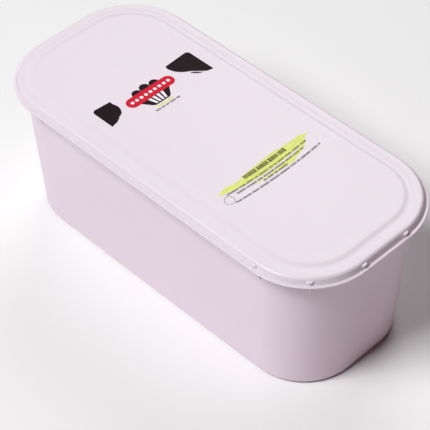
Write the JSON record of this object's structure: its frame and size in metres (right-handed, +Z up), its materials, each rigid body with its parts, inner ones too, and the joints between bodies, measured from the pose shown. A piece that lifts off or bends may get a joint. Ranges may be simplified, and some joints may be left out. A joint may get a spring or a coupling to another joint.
{
  "type": "ice cream tub",
  "caption": "Oblong plastic scooping tub for ice cream with drafted walls, large round corners and a shut press-on lid with a grooved top.",
  "frame": {"origin": "middle of the base, on the surface that the tub stands on", "axes": "+X along the tub, +Y across it, +Z up"},
  "size_m": [0.35, 0.16, 0.1305],
  "materials": {
    "tub_plastic": "satin moulded polypropylene, pinkish white",
    "lid_plastic": "satin moulded polypropylene, pinkish white",
    "print_black": "flat dark print",
    "print_red": "flat red print",
    "print_lime": "flat lime print",
    "print_white": "flat white print"
  },
  "bodies": {
    "root": {"tub": "tub_plastic", "lid": "lid_plastic"}
  },
  "joints": []
}
